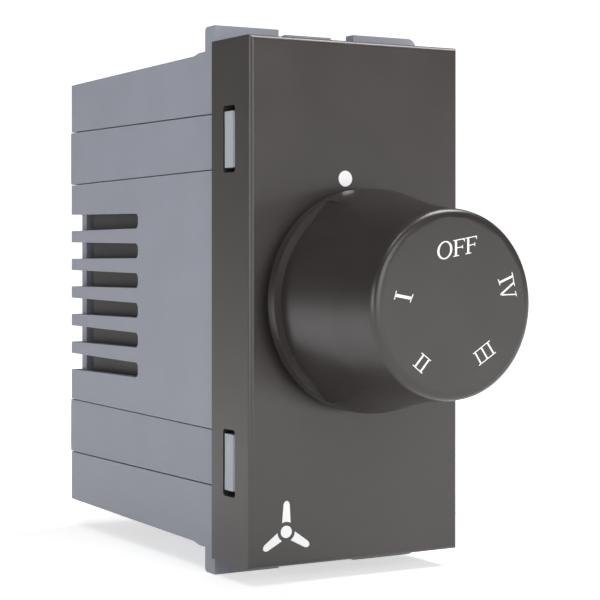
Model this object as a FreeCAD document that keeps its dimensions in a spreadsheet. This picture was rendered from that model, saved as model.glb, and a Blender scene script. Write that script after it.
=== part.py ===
import FreeCAD
import Part
import Sketcher
import math
import os
from FreeCAD import Placement, Rotation, Vector

# Step fan regulator, one module wide, in millimetres.
# X runs to the right seen from the front, Y to the rear, Z up.
# The origin is the centre of the flange face that bears on the mounting frame.

# Driving sizes: name, value, meaning.
SIZES = [
    ("plate_width", 23.75, "front plate, across"),
    ("plate_height", 50.1, "front plate, top to bottom"),
    ("plate_depth", 7.65, "front plate with its skirt, front to back"),
    ("plate_front_wall", 1.6, "wall behind the visible face"),
    ("plate_skirt_wall", 1.15, "skirt wall"),
    ("plate_edge_radius", 0.45, "rounding of the front edges"),
    ("plate_hole_radius", 6.2, "opening for the bush, under the knob"),
    ("stop_length", 5.0, "stop bars that rest on the carrier web, across"),
    ("stop_width", 1.2, "the same, upright"),
    ("stop_inset", 4.0, "stop bar from the inner skirt, upright"),
    ("seat_gap", 0.32, "gap between skirt and flange"),
    ("window_height", 6.4, "clip window in the skirt, upright"),
    ("window_depth", 2.4, "clip window, front to back"),
    ("window_behind_face", 2.93, "plate face to the window"),
    ("window_corner", 0.35, "rounding of the window corners"),
    ("knob_gap", 1.3, "plate face to the back of the knob"),
    ("knob_disc_radius", 10.72, "base disc of the knob"),
    ("knob_disc_height", 1.2, "thickness of the base disc"),
    ("grip_root_radius", 9.95, "grip in the finger hollows, at the disc"),
    ("grip_tip_radius", 8.63, "grip at its front end"),
    ("grip_height", 12.8, "disc to the rounded front edge"),
    ("flare_straight", 0.7, "height over which the lobes keep the disc radius"),
    ("flare_shoulder", 0.9, "height of the lobes' rounded shoulder"),
    ("flare_shoulder_drop", 0.14, "how much the lobes thin on that shoulder"),
    ("flare_radius", 55.0, "radius of the hollow curve of the lobes"),
    ("hollow_half_angle", 47.0, "finger hollow, half its arc"),
    ("lobe_blend_angle", 15.0, "arc over which hollow turns into lobe"),
    ("hollow_run_out", 0.1, "how far the hollows end off the front end of the grip"),
    ("face_band", 0.85, "rounded edge of the knob face, across"),
    ("face_band_height", 0.8, "the same, along the knob"),
    ("face_edge_radius", 0.7, "radius of that rounding"),
    ("knob_wall", 1.5, "wall of the knob"),
    ("knob_roof", 1.8, "wall behind the knob face"),
    ("knob_rib_wall", 1.0, "ribs inside the knob"),
    ("knob_rib_back", 5.0, "free depth behind the ribs"),
    ("knob_rib_count", 3, "ribs inside the knob"),
    ("hub_radius", 4.4, "hub inside the knob"),
    ("hub_back", 1.2, "hub end, forward of the knob's back"),
    ("collar_thickness", 0.6, "steel ring round the hub"),
    ("collar_width", 1.8, "the same, along the spindle"),
    ("spindle_radius", 3.0, "spindle"),
    ("spindle_flat", 1.5, "depth of the flat on the spindle"),
    ("shaft_play", 0.03, "radial running clearance of the spindle"),
    ("socket_play", 0.02, "clearance of spindle in knob and rotor"),
    ("web_thickness", 1.9, "carrier web"),
    ("carrier_play", 0.12, "carrier inside the skirt"),
    ("leg_thickness", 1.2, "clip leg of the carrier"),
    ("leg_front_gap", 0.6, "leg end to the front wall"),
    ("tab_inset", 0.12, "clip tab below the skirt's outer face"),
    ("tab_depth", 2.25, "clip tab, front to back"),
    ("tab_play", 0.06, "tab behind the front edge of its window"),
    ("tab_ramp_length", 0.6, "slope at the front of the tab"),
    ("arm_height", 5.33, "clip arm, upright"),
    ("arm_end_inset", 8.8, "clip arm centre from the housing end, at the flange"),
    ("arm_lean", 0.76, "clip arms towards the middle at the rear, inner edge, degrees"),
    ("arm_outer_lean", -0.12, "the same for their outer edge, degrees"),
    ("arm_thickness", 1.0, "clip arm, through the wall"),
    ("arm_recess", 0.06, "arm face below the housing side"),
    ("arm_gap", 0.11, "play of the arm in its channel"),
    ("arm_root_depth", 2.1, "thick root of the arm behind the web"),
    ("hook_length", 1.4, "hook at the rear end of the arm"),
    ("hook_depth", 0.95, "the same, front to back"),
    ("body_side_inset", 0.53, "housing side in from the plate's side"),
    ("body_end_inset", 0.85, "housing end in from the plate's end, at the flange"),
    ("body_taper", 0.62, "how much each end draws in towards the rear"),
    ("body_depth", 35.3, "flange face to the rear face"),
    ("rear_corner_radius", 0.4, "rounding at the rear"),
    ("collar_rise", 0.15, "flange collar above the housing end"),
    ("flange_thickness", 2.09, "flange and left lugs, front to back"),
    ("ramp_start", 3.4, "flange collar, end of its flat"),
    ("ramp_length", 1.05, "flange collar, ramp down to the housing"),
    ("side_wall", 1.25, "housing side wall"),
    ("channel_floor", 1.0, "wall left under an arm channel"),
    ("end_wall", 1.9, "top and bottom wall of the housing"),
    ("board_ledge", 0.8, "ledge that the circuit board rests on"),
    ("rear_wall", 1.24, "rear wall of the housing"),
    ("lug_rise", 2.4, "lugs beyond the flange collar"),
    ("lug_radius", 0.45, "rear rounding of the left lugs"),
    ("left_lug_width", 7.15, "left lugs"),
    ("right_lug_width", 7.65, "right lugs"),
    ("right_lug_overhang", 0.35, "right lugs beyond the plate"),
    ("right_lug_thickness", 1.44, "right lugs at the tip"),
    ("right_lug_corner", 0.9, "outer corner of the right lugs"),
    ("right_lug_ramp", 1.5, "slope behind the right lugs, upright"),
    ("mid_lug_width", 5.26, "middle tab"),
    ("mid_lug_thickness", 0.9, "middle tab"),
    ("mid_lug_rise", 2.1, "middle tab beyond the flange collar"),
    ("slot_count", 6, "vent slots per side"),
    ("slot_margin", 3.261, "clip arms to the vent slots"),
    ("slot_length", 17.89, "vent slots, from the rear face forwards"),
    ("slot_bar_front", 1.588, "bar between two slots, at their front end"),
    ("slot_bar_rear", 1.288, "bar between two slots, at the rear face"),
    ("slot_wrap", 1.45, "slot reach round the rear corner"),
    ("slot_corner", 0.36, "corner cut at the front end of a slot"),
    ("bush_radius", 4.2, "bush barrel"),
    ("bush_flange_half", 5.6, "bush flange, middle to its flat sides"),
    ("bush_flange", 1.0, "bush flange thickness"),
    ("bush_front", 4.4, "bush barrel in front of the flange face"),
    ("bush_play", 0.1, "bush in the carrier web"),
    ("washer_radius", 5.6, "lock washer"),
    ("washer_thickness", 0.5, "lock washer"),
    ("washer_tooth_count", 12, "teeth of the lock washer"),
    ("washer_tooth_depth", 0.5, "the same, depth"),
    ("nut_flats", 11.0, "bush nut across flats"),
    ("nut_height", 1.9, "bush nut"),
    ("clip_gap", 0.15, "retaining clip off the bush"),
    ("clip_thickness", 0.6, "retaining clip"),
    ("clip_radius", 4.5, "retaining clip"),
    ("clip_groove", 0.5, "depth of its groove in the spindle"),
    ("case_play", 0.495, "switch case off the housing sides"),
    ("case_corner", 5.2, "cut corners of the switch case"),
    ("case_front_wall", 1.4, "switch case front wall"),
    ("case_wall", 1.2, "switch case wall"),
    ("contact_room", 1.9, "rotor end to the contact wafer"),
    ("star_room", 2.5, "rotor star off the case wall, for the spring"),
    ("star_valley_radius", 1.6, "valleys cut in the star"),
    ("star_valley_out", 0.5, "valley centres beyond the star tips"),
    ("star_count", 5, "positions of the switch"),
    ("star_thickness", 3.0, "rotor star"),
    ("star_front_gap", 0.3, "rotor off the case front wall"),
    ("rotor_hub_radius", 4.4, "rotor hub behind the star"),
    ("rotor_hub_length", 4.4, "rotor hub behind the star"),
    ("step_angle", 72.0, "angle between two positions"),
    ("spring_thickness", 0.3, "detent leaf spring"),
    ("spring_width", 2.6, "detent leaf spring, along the axis"),
    ("spring_gap", 0.12, "spring bump off the valley"),
    ("spring_half_span", 5.2, "detent leaf spring, half its length"),
    ("wiper_thickness", 0.3, "wiper sheet"),
    ("wiper_width", 2.4, "wiper finger"),
    ("contact_inset", 0.8, "fixed contacts off the case wall"),
    ("contact_radius", 1.3, "head of a fixed contact"),
    ("contact_head", 0.5, "head thickness"),
    ("contact_tail", 0.9, "square tail of a fixed contact"),
    ("tail_play", 0.05, "tails and leads in their holes"),
    ("wiper_gap", 0.05, "wiper off the contact heads"),
    ("ring_inner", 3.4, "common ring, inside"),
    ("ring_outer", 4.5, "common ring, outside"),
    ("ring_thickness", 0.3, "common ring"),
    ("wafer_thickness", 1.2, "contact wafer"),
    ("board_gap", 2.0, "contact wafer to the circuit board"),
    ("board_thickness", 1.6, "circuit board"),
    ("board_play", 0.2, "circuit board in the housing"),
    ("tail_rise", 0.6, "tails standing out behind the board"),
    ("capacitor_play", 0.395, "capacitor off the housing sides"),
    ("capacitor_clearance", 3.93, "capacitor off the terminals"),
    ("capacitor_rear_gap", 1.46, "capacitor off the rear wall"),
    ("capacitor_split", 0.5, "gap between the two capacitors"),
    ("capacitor_standoff", 0.9, "capacitor behind the board"),
    ("capacitor_edge", 0.5, "rounding of the capacitor cases"),
    ("lead_width", 0.7, "square component leads"),
    ("resistor_radius", 2.1, "power resistor body"),
    ("resistor_length", 11.0, "power resistor body"),
    ("resistor_spread", 5.4, "spacing of the two resistors"),
    ("lead_inset", 3.5, "capacitor leads from the case sides"),
    ("resistor_gap", 2.2, "resistors off the upper capacitor"),
    ("terminal_width", 6.0, "terminal block, across"),
    ("terminal_height", 7.4, "terminal block, upright"),
    ("terminal_depth", 7.4, "terminal block, front to back"),
    ("terminal_side_gap", 0.975, "terminal off the channel walls"),
    ("terminal_rear_gap", 2.46, "terminal blocks off the rear wall"),
    ("wire_bore_radius", 1.75, "wire bore in the terminal"),
    ("wire_entry_radius", 2.1, "wire entry in the bottom wall"),
    ("screw_radius", 1.75, "terminal screw"),
    ("screw_head_radius", 2.6, "terminal screw head"),
    ("screw_head_height", 1.5, "terminal screw head"),
    ("screw_reach", 2.2, "screw length inside the block"),
    ("screw_slot_width", 0.8, "driver slot"),
    ("screw_slot_depth", 0.8, "driver slot"),
    ("screw_well_radius", 3.0, "opening over a terminal screw"),
    ("tag_width", 2.6, "solder tag of a terminal"),
    ("tag_thickness", 0.8, "solder tag of a terminal"),
]

doc = FreeCAD.newDocument("fan_regulator")
sheet = doc.addObject("Spreadsheet::Sheet", "sizes")
for row, (alias, amount, meaning) in enumerate(SIZES, start=1):
    sheet.set("A%d" % row, meaning)
    sheet.set("B%d" % row, repr(amount))
    sheet.setAlias("B%d" % row, alias)
doc.recompute()


class Size:
    """A value together with the sheet expression that gives it."""

    def __init__(self, value, text):
        self.value = value
        self.text = text

    def __add__(self, other):
        other = as_size(other)
        return Size(self.value + other.value, "(%s + %s)" % (self.text, other.text))

    def __radd__(self, other):
        return as_size(other) + self

    def __sub__(self, other):
        other = as_size(other)
        return Size(self.value - other.value, "(%s - %s)" % (self.text, other.text))

    def __rsub__(self, other):
        return as_size(other) - self

    def __mul__(self, other):
        other = as_size(other)
        return Size(self.value * other.value, "(%s * %s)" % (self.text, other.text))

    def __rmul__(self, other):
        return as_size(other) * self

    def __truediv__(self, other):
        other = as_size(other)
        return Size(self.value / other.value, "(%s / %s)" % (self.text, other.text))

    def __neg__(self):
        return Size(-self.value, "(-1 * %s)" % self.text)

    def power(self, other):
        other = as_size(other)
        return Size(self.value ** other.value, "(%s ^ %s)" % (self.text, other.text))

    def cos(self):
        return Size(math.cos(math.radians(self.value)), "cos(%s * 1 deg)" % self.text)

    def sin(self):
        return Size(math.sin(math.radians(self.value)), "sin(%s * 1 deg)" % self.text)

    def tan(self):
        return Size(math.tan(math.radians(self.value)), "tan(%s * 1 deg)" % self.text)

    def root(self):
        return Size(math.sqrt(self.value), "sqrt(%s)" % self.text)


def as_size(item):
    if isinstance(item, Size):
        return item
    return Size(float(item), repr(float(item)))


VALUES = {}
for alias, amount, meaning in SIZES:
    VALUES[alias] = amount


def size(alias):
    return Size(VALUES[alias], "sizes." + alias)


def bind(item, path, amount):
    item.setExpression(path, as_size(amount).text)


def new_body(label):
    body = doc.addObject("PartDesign::Body", label.title().replace("_", ""))
    body.Label = label
    return body


def sketch_on(body, name, role, level=0.0):
    """Sketch on one of the body's own origin planes, moved along its normal."""
    level = as_size(level)
    sketch = body.newObject("Sketcher::SketchObject", name)
    plane = [item for item in body.Origin.OriginFeatures if item.Role == role][0]
    sketch.AttachmentSupport = [(plane, "")]
    sketch.MapMode = "FlatFace"
    sketch.AttachmentOffset = Placement(Vector(0, 0, level.value), Rotation())
    bind(sketch, "AttachmentOffset.Base.z", level)
    return sketch


def front_sketch(body, name, y):
    """Sketch seen from the front: its axes are X and Z, and it lies at the given Y."""
    return sketch_on(body, name, "XZ_Plane", -as_size(y))


def side_sketch(body, name, x):
    """Sketch seen from the side: its axes are Y and Z."""
    return sketch_on(body, name, "YZ_Plane", x)


def top_sketch(body, name, z):
    """Sketch seen from above: its axes are X and Y."""
    return sketch_on(body, name, "XY_Plane", z)


def leaning_sketch(body, name, end, lean):
    """Sketch along a clip arm's middle plane, leaning towards the module's middle."""
    sketch = top_sketch(body, name, end * arm_centre)
    sketch.AttachmentOffset = Placement(
        Vector(0, 0, end * arm_centre.value), Rotation(Vector(-end, 0, 0), VALUES[lean]))
    bind(sketch, "AttachmentOffset.Rotation.Angle", size(lean))
    bind(sketch, "AttachmentOffset.Base.z", end * arm_centre)
    return sketch


def pin(sketch, geometry, point, across, up):
    """Tie a point of the sketch to its two coordinates."""
    for kind, amount, axis in (("DistanceX", across, -2), ("DistanceY", up, -1)):
        amount = as_size(amount)
        if amount.value == 0.0:
            sketch.addConstraint(Sketcher.Constraint("PointOnObject", geometry, point, axis))
        else:
            rule = Sketcher.Constraint(kind, -1, 1, geometry, point, amount.value)
            index = sketch.addConstraint(rule)
            bind(sketch, "Constraints[%d]" % index, amount)


def outline(sketch, points):
    """Closed outline through corner points."""
    pairs = [(as_size(across), as_size(up)) for across, up in points]
    first = sketch.GeometryCount
    count = len(pairs)
    for index in range(count):
        start = pairs[index]
        end = pairs[(index + 1) % count]
        line = Part.LineSegment(
            Vector(start[0].value, start[1].value, 0), Vector(end[0].value, end[1].value, 0))
        sketch.addGeometry(line, False)
    for index in range(count):
        after = first + (index + 1) % count
        sketch.addConstraint(Sketcher.Constraint("Coincident", first + index, 2, after, 1))
    for index in range(count):
        pin(sketch, first + index, 1, pairs[index][0], pairs[index][1])


def rectangle(sketch, left, right, low, high):
    outline(sketch, [(left, low), (right, low), (right, high), (left, high)])


def circle(sketch, across, up, radius):
    across = as_size(across)
    up = as_size(up)
    radius = as_size(radius)
    shape = Part.Circle(Vector(across.value, up.value, 0), Vector(0, 0, 1), radius.value)
    index = sketch.addGeometry(shape, False)
    if across.value == 0.0 and up.value == 0.0:
        sketch.addConstraint(Sketcher.Constraint("Coincident", index, 3, -1, 1))
    else:
        pin(sketch, index, 3, across, up)
    rule = sketch.addConstraint(Sketcher.Constraint("Radius", index, radius.value))
    bind(sketch, "Constraints[%d]" % rule, radius)
    return index


def extrude(kind, body, name, sketch, length, to_plus=None, both=False, taper=None):
    """Pad or Pocket; to_plus says whether it runs towards the plus side of the axis."""
    feature = body.newObject(kind, name)
    feature.Profile = sketch
    length = as_size(length)
    feature.Length = length.value
    bind(feature, "Length", length)
    if both:
        feature.SideType = "Symmetric"
    else:
        normal_is_plus = "XZ_Plane" not in [part[0].Role for part in sketch.AttachmentSupport]
        forwards = (kind == "PartDesign::Pad")
        feature.Reversed = (to_plus == normal_is_plus) != forwards
    if taper is not None:
        feature.TaperAngle = as_size(taper).value
        bind(feature, "TaperAngle", taper)
    return feature


def pad(body, name, sketch, length, **more):
    return extrude("PartDesign::Pad", body, name, sketch, length, **more)


def pocket(body, name, sketch, length, **more):
    return extrude("PartDesign::Pocket", body, name, sketch, length, **more)


def turn(kind, body, name, sketch, angle=360.0, middle=False):
    """Revolution or Groove about the sketch's upright axis."""
    feature = body.newObject(kind, name)
    feature.Profile = sketch
    feature.ReferenceAxis = (sketch, ["V_Axis"])
    angle = as_size(angle)
    feature.Angle = angle.value
    bind(feature, "Angle", angle)
    feature.Midplane = middle
    return feature


def mirror(body, name, originals, role):
    feature = body.newObject("PartDesign::Mirrored", name)
    feature.Originals = originals
    plane = [item for item in body.Origin.OriginFeatures if item.Role == role][0]
    feature.MirrorPlane = (plane, [""])
    body.Tip = feature
    return feature


def pick_edges(shape, wanted):
    names = []
    for index, edge in enumerate(shape.Edges, start=1):
        if wanted(edge):
            names.append("Edge%d" % index)
    return names


def cut_edges(body, name, base, across, wanted):
    """Cut the edges of a feature that pass the test off at 45 degrees."""
    doc.recompute()
    names = pick_edges(base.Shape, wanted)
    feature = body.newObject("PartDesign::Chamfer", name)
    feature.Base = (base, names)
    feature.Size = as_size(across).value
    bind(feature, "Size", across)
    return feature


def round_edges(body, name, base, radius, wanted):
    doc.recompute()
    names = pick_edges(base.Shape, wanted)
    feature = body.newObject("PartDesign::Fillet", name)
    feature.Base = (base, names)
    feature.Radius = as_size(radius).value
    bind(feature, "Radius", radius)
    return feature


def along(edge, axis):
    """True for a straight edge parallel to the axis."""
    if edge.Curve.TypeId != "Part::GeomLine":
        return False
    run = edge.Vertexes[-1].Point.sub(edge.Vertexes[0].Point)
    return abs(abs(run.dot(axis)) - run.Length) < 1e-6


def near(value, target):
    return abs(value - as_size(target).value) < 1e-4


def middle_of(edge):
    return edge.BoundBox.Center


def rod(label, axis, radius, start, end, across, up):
    """Cylinder along Y or Z; across and up give its other two coordinates."""
    radius, start, end, across, up = [as_size(item) for item in (radius, start, end, across, up)]
    item = doc.addObject("Part::Cylinder", label.title().replace("_", ""))
    item.Label = label
    bind(item, "Radius", radius)
    bind(item, "Height", end - start)
    if axis == "Y":
        item.Placement = Placement(
            Vector(across.value, start.value, up.value), Rotation(Vector(1, 0, 0), -90))
        bind(item, "Placement.Base.x", across)
        bind(item, "Placement.Base.y", start)
        bind(item, "Placement.Base.z", up)
    else:
        item.Placement.Base = Vector(across.value, up.value, start.value)
        bind(item, "Placement.Base.x", across)
        bind(item, "Placement.Base.y", up)
        bind(item, "Placement.Base.z", start)
    return item


def join(label, items):
    item = doc.addObject("Part::MultiFuse", label.title().replace("_", ""))
    item.Label = label
    item.Shapes = items
    return item


def take(label, base, tool):
    item = doc.addObject("Part::Cut", label.title().replace("_", ""))
    item.Label = label
    item.Base = base
    item.Tool = tool
    return item


X_AXIS = Vector(1, 0, 0)
Y_AXIS = Vector(0, 1, 0)
Z_AXIS = Vector(0, 0, 1)

# Planes and half sizes that several pieces share.
plate_back = -size("seat_gap")
plate_face = plate_back - size("plate_depth")
plate_inside = plate_face + size("plate_front_wall")
plate_half = size("plate_width") / 2
plate_half_up = size("plate_height") / 2
skirt_inner = plate_half - size("plate_skirt_wall")
skirt_inner_up = plate_half_up - size("plate_skirt_wall")
window_front = plate_face + size("window_behind_face")
window_rear = window_front + size("window_depth")
web_half = skirt_inner - size("carrier_play")
web_half_up = skirt_inner_up - size("carrier_play")
web_front = -size("web_thickness")
body_half = plate_half - size("body_side_inset")
front_half = plate_half_up - size("body_end_inset")
rear_half = front_half - size("body_taper")
collar_half = front_half + size("collar_rise")
lug_reach = collar_half + size("lug_rise")
mid_lug_reach = collar_half + size("mid_lug_rise")
arm_centre = front_half - size("arm_end_inset")
body_rear = size("body_depth")
arm_outer = body_half - size("arm_recess")
arm_inner = arm_outer - size("arm_thickness")
channel_inner = arm_inner - size("arm_gap")
cavity_half = channel_inner - size("channel_floor")
side_inner = body_half - size("side_wall")
rear_inside = body_rear - size("rear_wall")
cavity_up = rear_half - size("end_wall")
board_up = cavity_up + size("board_ledge")
bush_front = -size("bush_front")
clip_rear = bush_front - size("clip_gap")
clip_front = clip_rear - size("clip_thickness")
case_front = size("bush_flange")
star_front = case_front + size("case_front_wall") + size("star_front_gap")
star_rear = star_front + size("star_thickness")
rotor_rear = star_rear + size("rotor_hub_length")
case_rear = rotor_rear + size("contact_room")
wafer_rear = case_rear + size("wafer_thickness")
board_front = wafer_rear + size("board_gap")
board_rear = board_front + size("board_thickness")
channel_half = size("arm_height") / 2 + size("arm_gap")
leg_inner = web_half - size("leg_thickness")

# Front plate: a cap with a skirt, four clip windows and an opening for the bush.
plate = new_body("front_plate")
sketch = front_sketch(plate, "PlateOutline", plate_face)
rectangle(sketch, -plate_half, plate_half, -plate_half_up, plate_half_up)
pad(plate, "PlateBlock", sketch, size("plate_depth"), to_plus=True)
sketch = front_sketch(plate, "SkirtInside", plate_back)
rectangle(sketch, -skirt_inner, skirt_inner, -skirt_inner_up, skirt_inner_up)
hollow = pocket(plate, "PlateHollow", sketch,
                size("plate_depth") - size("plate_front_wall"), to_plus=False)
sketch = front_sketch(plate, "BushOpening", plate_face)
circle(sketch, 0, 0, size("plate_hole_radius"))
pocket(plate, "PlateHole", sketch, size("plate_front_wall") * 1.5, to_plus=True)
window_middle = arm_centre - size("arm_lean").tan() * (window_front + window_rear) / 2
sketch = side_sketch(plate, "WindowOutline", 0)
window_half = size("window_height") / 2
for side in (1, -1):
    rectangle(sketch, window_front, window_rear,
              side * window_middle - window_half, side * window_middle + window_half)
windows = pocket(plate, "Windows", sketch, size("plate_width") * 1.1, both=True)
stop_low = skirt_inner_up - size("stop_inset")
stop_half = size("stop_length") / 2
sketch = front_sketch(plate, "StopOutline", plate_inside)
for side in (1, -1):
    for end in (1, -1):
        rectangle(sketch, side * skirt_inner / 2 - stop_half, side * skirt_inner / 2 + stop_half,
                  end * stop_low, end * (stop_low - size("stop_width")))
stops = pad(plate, "PlateStops", sketch, web_front - plate_inside, to_plus=True)
corners = round_edges(
    plate, "WindowCorners", stops, size("window_corner"),
    lambda edge: along(edge, X_AXIS) and edge.Length < size("plate_skirt_wall").value * 1.01
    and (near(middle_of(edge).y, window_front) or near(middle_of(edge).y, window_rear)))
round_edges(
    plate, "PlateEdges", corners, size("plate_edge_radius"),
    lambda edge: near(edge.BoundBox.YMax, plate_face)
    and (abs(middle_of(edge).x) > plate_half.value * 0.9
         or abs(middle_of(edge).z) > plate_half_up.value * 0.9))

# Knob: base disc, flared grip with a finger hollow on each side, bevelled flat face.
# Distances along the knob are counted forwards from the plate, so towards minus Y.
knob_back = plate_face - size("knob_gap")
disc_top = knob_back - size("knob_disc_height")
grip_tip = disc_top - size("grip_height")
knob_face = grip_tip - size("face_band_height")
hollow_angle = size("hollow_half_angle")
lobe_angle = hollow_angle + size("lobe_blend_angle")


def polar(radius, angle):
    return (radius * angle.cos(), radius * angle.sin())


def hollow_section(body, name, y, hollow_radius, lobe_radius):
    """Everything outside the hollow arc, the two blends and the lobe, on the plus X side."""
    sketch = front_sketch(body, name, y)
    upper = polar(hollow_radius, hollow_angle)
    lower = polar(hollow_radius, -hollow_angle)
    lobe_upper = polar(lobe_radius, lobe_angle)
    lobe_lower = polar(lobe_radius, -lobe_angle)
    outside = size("knob_disc_radius") * 1.3
    corners = [lower, lobe_lower, (lobe_lower[0], -outside), (outside, -outside),
               (outside, outside), (lobe_upper[0], outside), lobe_upper, upper]
    ring = Part.Circle(Vector(0, 0, 0), Vector(0, 0, 1), hollow_radius.value)
    arc = sketch.addGeometry(Part.ArcOfCircle(
        ring, -math.radians(hollow_angle.value), math.radians(hollow_angle.value)), False)
    lines = []
    for start, end in zip(corners[:-1], corners[1:]):
        lines.append(sketch.addGeometry(Part.LineSegment(
            Vector(start[0].value, start[1].value, 0), Vector(end[0].value, end[1].value, 0)),
            False))
    sketch.addConstraint(Sketcher.Constraint("Coincident", arc, 3, -1, 1))
    sketch.addConstraint(Sketcher.Constraint("Coincident", lines[0], 1, arc, 1))
    sketch.addConstraint(Sketcher.Constraint("Coincident", lines[-1], 2, arc, 2))
    for first, second in zip(lines[:-1], lines[1:]):
        sketch.addConstraint(Sketcher.Constraint("Coincident", first, 2, second, 1))
    rule = sketch.addConstraint(Sketcher.Constraint("Radius", arc, hollow_radius.value))
    bind(sketch, "Constraints[%d]" % rule, hollow_radius)
    for point, height in ((1, lower[1]), (2, upper[1])):
        rule = sketch.addConstraint(
            Sketcher.Constraint("DistanceY", -1, 1, arc, point, height.value))
        bind(sketch, "Constraints[%d]" % rule, height)
    for line, corner in zip(lines[:-1], corners[1:-1]):
        pin(sketch, line, 2, as_size(corner[0]), as_size(corner[1]))
    return sketch


knob = new_body("knob")
profile = top_sketch(knob, "KnobProfile", 0)
disc_radius = size("knob_disc_radius")
shoulder_start = disc_top - size("flare_straight")
shoulder_end = shoulder_start - size("flare_shoulder")
flare_start = (disc_radius - size("flare_shoulder_drop"), shoulder_end)
tip_radius = size("grip_tip_radius")
face_radius = tip_radius - size("face_band")


def bowed(start, end, radius, outward, steps):
    """Points between start and end on a shallow curve, bowed off the axis or towards it."""
    start_across, start_up, end_across, end_up = [as_size(item) for item in start + end]
    run, rise = end_across - start_across, end_up - start_up
    chord = (run * run + rise * rise).root()
    sag = radius - (radius * radius - chord * chord / 4).root()
    lift = sag / chord * (4 if outward else -4)
    points = []
    for step in range(1, steps):
        share = step / steps
        bulge = lift * share * (1 - share)
        points.append((start_across + run * share - rise * bulge,
                       start_up + rise * share + run * bulge))
    return points


tip = (tip_radius, grip_tip)
outline(profile, [(0, knob_face), (0, knob_back), (disc_radius, knob_back),
                  (disc_radius, shoulder_start), flare_start]
        + bowed(flare_start, tip, size("flare_radius"), False, 3) + [tip]
        + bowed(tip, (face_radius, knob_face), size("face_edge_radius"), True, 3)
        + [(face_radius, knob_face)])
grip = turn("PartDesign::Revolution", knob, "KnobTurned", profile)
run_out = tip_radius + size("hollow_run_out")
hollow_base = hollow_section(knob, "HollowBase", disc_top, size("grip_root_radius"), disc_radius)
hollow_tip = hollow_section(knob, "HollowTip", grip_tip, run_out, run_out)
hollow_cut = knob.newObject("PartDesign::SubtractiveLoft", "FingerHollow")
hollow_cut.Profile = hollow_base
hollow_cut.Sections = [hollow_tip]
hollow_cut.Ruled = True
hollows = mirror(knob, "FingerHollows", [hollow_cut], "YZ_Plane")
roof = knob_face + size("knob_roof")
cavity_profile = top_sketch(knob, "CavityProfile", 0)
outline(cavity_profile, [
    (size("hub_radius"), knob_back + 1),
    (size("hub_radius"), roof),
    (size("grip_tip_radius") - size("knob_wall"), roof),
    (size("grip_tip_radius") - size("knob_wall"), knob_back + 1)])
cavity = turn("PartDesign::Groove", knob, "KnobCavity", cavity_profile)
hub_end = knob_back - size("hub_back")
sketch = front_sketch(knob, "HubTrim", knob_back + 1)
circle(sketch, 0, 0, size("hub_radius") + 0.1)
trim = pocket(knob, "HubEnd", sketch, size("hub_back") + 1, to_plus=False)
rib_length = size("grip_tip_radius") - size("knob_wall") / 2
sketch = front_sketch(knob, "RibOutline", roof)
rib_half = size("knob_rib_wall") / 2
rectangle(sketch, size("hub_radius") * 0.95, rib_length, -rib_half, rib_half)
rib = pad(knob, "KnobRib", sketch,
          knob_back - size("knob_rib_back") - roof, to_plus=True)
ribs = knob.newObject("PartDesign::PolarPattern", "KnobRibs")
ribs.Originals = [rib]
ribs.Axis = (sketch, ["N_Axis"])
ribs.Angle = 360
ribs.Occurrences = VALUES["knob_rib_count"]
bind(ribs, "Occurrences", size("knob_rib_count"))
knob.Tip = ribs
bore_radius = size("spindle_radius") + size("socket_play")
flat_height = size("spindle_radius") - size("spindle_flat") + size("socket_play")
spindle_front = roof + 0.4
bore_end = spindle_front - 0.2


def d_section(sketch, radius, flat):
    """Circle with a flat at the given height above the axis."""
    half = (radius * radius - flat * flat).root()
    angle = math.asin(flat.value / radius.value)
    ring = Part.Circle(Vector(0, 0, 0), Vector(0, 0, 1), radius.value)
    arc = sketch.addGeometry(Part.ArcOfCircle(ring, math.pi - angle, 2 * math.pi + angle), False)
    line = sketch.addGeometry(
        Part.LineSegment(Vector(half.value, flat.value, 0), Vector(-half.value, flat.value, 0)),
        False)
    sketch.addConstraint(Sketcher.Constraint("Coincident", arc, 3, -1, 1))
    rule = sketch.addConstraint(Sketcher.Constraint("Radius", arc, radius.value))
    bind(sketch, "Constraints[%d]" % rule, radius)
    sketch.addConstraint(Sketcher.Constraint("Coincident", arc, 2, line, 1))
    sketch.addConstraint(Sketcher.Constraint("Coincident", line, 2, arc, 1))
    sketch.addConstraint(Sketcher.Constraint("Horizontal", line))
    rule = sketch.addConstraint(Sketcher.Constraint("DistanceY", -1, 1, line, 1, flat.value))
    bind(sketch, "Constraints[%d]" % rule, flat)


sketch = front_sketch(knob, "BoreOutline", hub_end + 1)
d_section(sketch, bore_radius, flat_height)
bore = pocket(knob, "KnobBore", sketch, hub_end + 1 - bore_end, to_plus=False)

# Steel collar round the knob's hub.
collar = new_body("hub_collar")
collar_rear = hub_end - 0.2
sketch = front_sketch(collar, "CollarOutline", collar_rear)
circle(sketch, 0, 0, size("hub_radius") + size("collar_thickness"))
circle(sketch, 0, 0, size("hub_radius"))
pad(collar, "CollarRing", sketch, size("collar_width"), to_plus=False)

# Spindle with a flat for knob and rotor, and a groove for the retaining clip.
spindle = new_body("spindle")
sketch = front_sketch(spindle, "SpindleOutline", spindle_front)
circle(sketch, 0, 0, size("spindle_radius"))
pad(spindle, "SpindleRod", sketch, rotor_rear - spindle_front, to_plus=True)
flat_rear = plate_face + size("plate_front_wall") / 2
sketch = top_sketch(spindle, "FlatOutline", 0)
groove_play = 0.05
outline(sketch, [
    (size("spindle_radius") - size("clip_groove"), clip_front - groove_play),
    (size("spindle_radius") + 1, clip_front - groove_play),
    (size("spindle_radius") + 1, clip_rear + groove_play),
    (size("spindle_radius") - size("clip_groove"), clip_rear + groove_play)])
turn("PartDesign::Groove", spindle, "ClipGroove", sketch)
sketch = side_sketch(spindle, "FlatSide", 0)
flat_level = size("spindle_radius") - size("spindle_flat")
rectangle(sketch, spindle_front - 1, flat_rear, flat_level, size("spindle_radius") + 1)
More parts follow.
